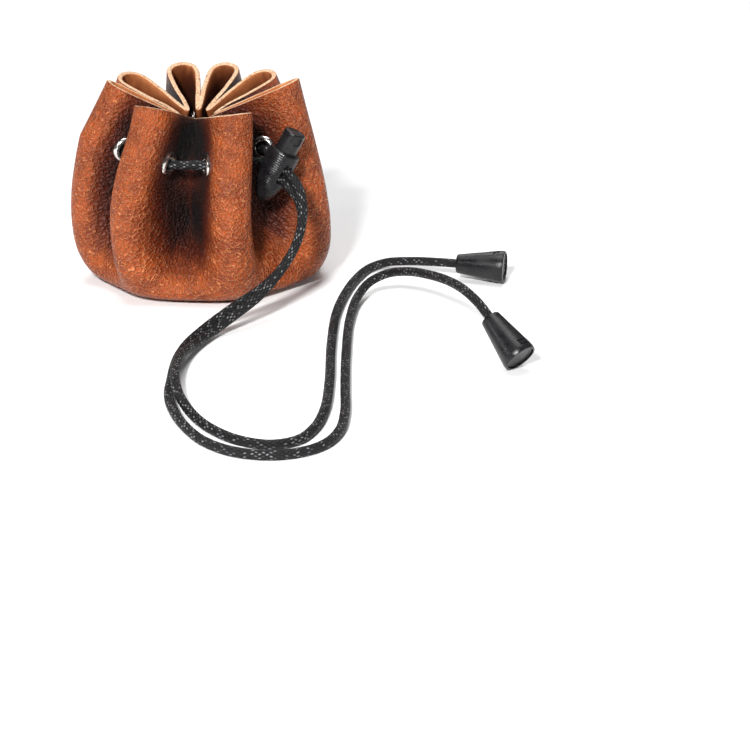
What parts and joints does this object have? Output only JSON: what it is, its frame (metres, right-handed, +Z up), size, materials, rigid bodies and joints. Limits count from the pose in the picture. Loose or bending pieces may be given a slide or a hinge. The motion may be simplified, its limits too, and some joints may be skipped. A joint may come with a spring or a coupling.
{
  "type": "drawstring dice bag",
  "caption": "Small round leather pouch gathered on a drawstring through metal eyelets, with a push-button cord lock and a bell-shaped end on each of two long cord tails.",
  "frame": {"origin": "middle of the bag's footprint, on the surface it stands on", "axes": "+Z up out of the bag's mouth, -Y towards the side that the two free cord tails run out in front of, +X towards the side where the cord lock hangs"},
  "size_m": [0.1777, 0.246, 0.0822],
  "materials": {
    "leather": "pebble grain outside, suede inside, semi-gloss",
    "nickel": "polished nickel plate",
    "cord": "round braid, slight sheen",
    "black_plastic": "fine moulded texture",
    "spring_steel": "drawn wire"
  },
  "bodies": {
    "bag": {"leather_bag": "leather", "eyelet_01": "nickel", "eyelet_washer_01": "nickel", "eyelet_02": "nickel", "eyelet_washer_02": "nickel", "eyelet_03": "nickel", "eyelet_washer_03": "nickel", "eyelet_04": "nickel", "eyelet_washer_04": "nickel", "eyelet_05": "nickel", "eyelet_washer_05": "nickel", "eyelet_06": "nickel", "eyelet_washer_06": "nickel", "eyelet_07": "nickel", "eyelet_washer_07": "nickel", "eyelet_08": "nickel", "eyelet_washer_08": "nickel", "eyelet_09": "nickel", "eyelet_washer_09": "nickel", "eyelet_10": "nickel", "eyelet_washer_10": "nickel", "eyelet_11": "nickel", "eyelet_washer_11": "nickel", "eyelet_12": "nickel", "eyelet_washer_12": "nickel", "eyelet_13": "nickel", "eyelet_washer_13": "nickel", "eyelet_14": "nickel", "eyelet_washer_14": "nickel", "eyelet_15": "nickel", "eyelet_washer_15": "nickel", "eyelet_16": "nickel", "eyelet_washer_16": "nickel", "drawstring_ring": "cord", "cord_tail_1": "cord", "cord_tail_2": "cord", "cord_knot_1": "cord", "cord_knot_2": "cord"},
    "lock": {"cord_lock_body": "black_plastic", "cord_lock_spring": "spring_steel"},
    "lock_button": {"cord_lock_plunger": "black_plastic"},
    "bell_1": {"bell_shell_1": "black_plastic", "bell_lid_1": "black_plastic"},
    "bell_2": {"bell_shell_2": "black_plastic", "bell_lid_2": "black_plastic"}
  },
  "joints": [
    {"name": "lock_slide", "type": "slide", "parent": "bag", "child": "lock", "axis": [0.5192, -0.8114, -0.2684], "range_m": [0, 0.008], "deforming": ["drawstring_ring", "cord_tail_1", "cord_tail_2"]},
    {"name": "button_press", "type": "slide", "parent": "lock", "child": "lock_button", "axis": [-0.4591, 0, -0.8884], "range_m": [0, 0.0024], "stiffness_N_per_m": 400, "springref_m": -0.0012, "deforming": ["cord_lock_spring"]},
    {"name": "bell_1_turn", "type": "hinge", "parent": "bag", "child": "bell_1", "pos_m": [0.102, -0.0133, 0.00655], "axis": [0.9744, -0.225, 0], "continuous": true},
    {"name": "bell_2_turn", "type": "hinge", "parent": "bag", "child": "bell_2", "pos_m": [0.1108, -0.1015, 0.01623], "axis": [0.5481, -0.6087, -0.5736], "continuous": true}
  ]
}
